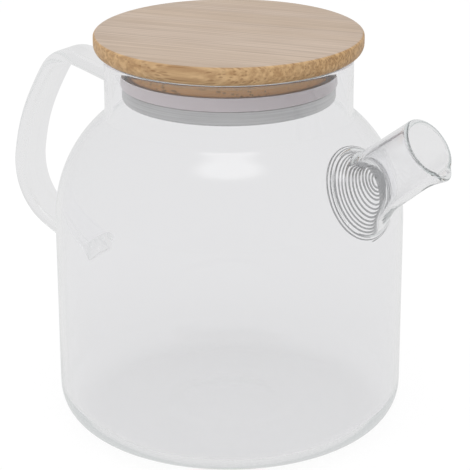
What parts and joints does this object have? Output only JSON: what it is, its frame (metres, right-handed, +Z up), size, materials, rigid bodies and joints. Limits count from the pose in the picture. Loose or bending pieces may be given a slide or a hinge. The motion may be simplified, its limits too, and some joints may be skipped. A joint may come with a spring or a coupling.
{
  "type": "glass teapot",
  "caption": "Clear glass teapot with a round shoulder, a short angled spout with a coiled wire strainer, a strap handle and a flat bamboo lid.",
  "frame": {"origin": "on the pot's axis, at the flat underside that stands on the table", "axes": "+Z up along the pot's axis, +X towards the spout, handle towards -X"},
  "size_m": [0.209, 0.14, 0.1613],
  "materials": {
    "glass": "clear, fire polished",
    "wire": "bright drawn stainless wire",
    "bamboo": "sanded laminated bamboo, oiled",
    "silicone": "translucent, glossy",
    "steel": "fine brushed"
  },
  "bodies": {
    "pot": {"vessel": "glass", "spout": "glass", "handle": "glass"},
    "strainer": {"strainer_spring": "wire"},
    "lid": {"lid_disc": "bamboo", "lid_seal": "silicone", "lid_cup": "steel"}
  },
  "joints": [
    {"name": "lid_lift", "type": "slide", "parent": "pot", "child": "lid", "axis": [0, 0, 1], "range_m": [0, 0.05]},
    {"name": "strainer_pull", "type": "slide", "parent": "pot", "child": "strainer", "axis": [-0.9092, 0, -0.4163], "range_m": [0, 0.03]}
  ]
}
